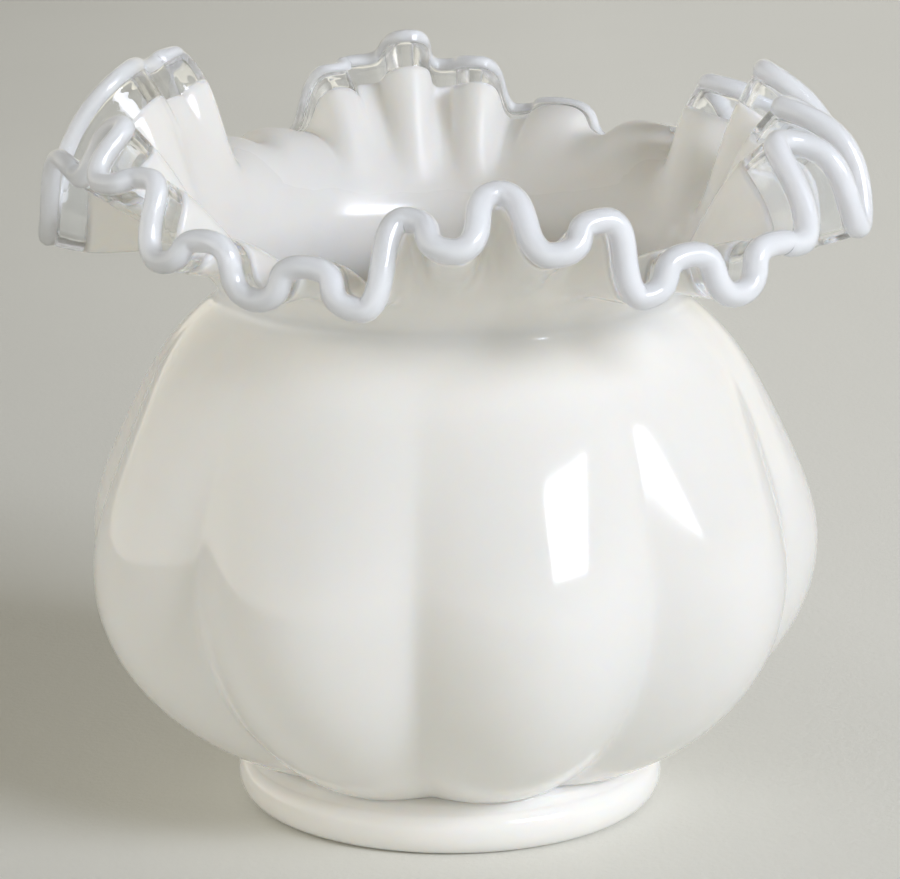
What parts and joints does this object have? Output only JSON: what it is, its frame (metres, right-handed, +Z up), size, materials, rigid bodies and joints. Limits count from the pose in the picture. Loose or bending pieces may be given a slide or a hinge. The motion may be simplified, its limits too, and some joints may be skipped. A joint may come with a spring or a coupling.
{
  "type": "crimped vase",
  "caption": "Low melon-ribbed flower vase in white opal glass on a round foot, its wide mouth crimped into deep folds and edged with a clear band and a white bead.",
  "frame": {"origin": "middle of the vase's box, at the height of the surface it stands on", "axes": "+Z up, front of the vase towards -Y, +X to the right of a viewer at the front"},
  "size_m": [0.156, 0.1532, 0.1447],
  "materials": {
    "opal_glass": "fire-polished white opal glass, faintly warm and slightly translucent",
    "clear_glass": "fire-polished clear glass",
    "bead_glass": "fire-polished white opal glass under a thin clear skin"
  },
  "bodies": {
    "root": {"opal_body": "opal_glass", "foot_ring": "opal_glass", "clear_crest": "clear_glass", "opal_edge": "bead_glass"}
  },
  "joints": []
}
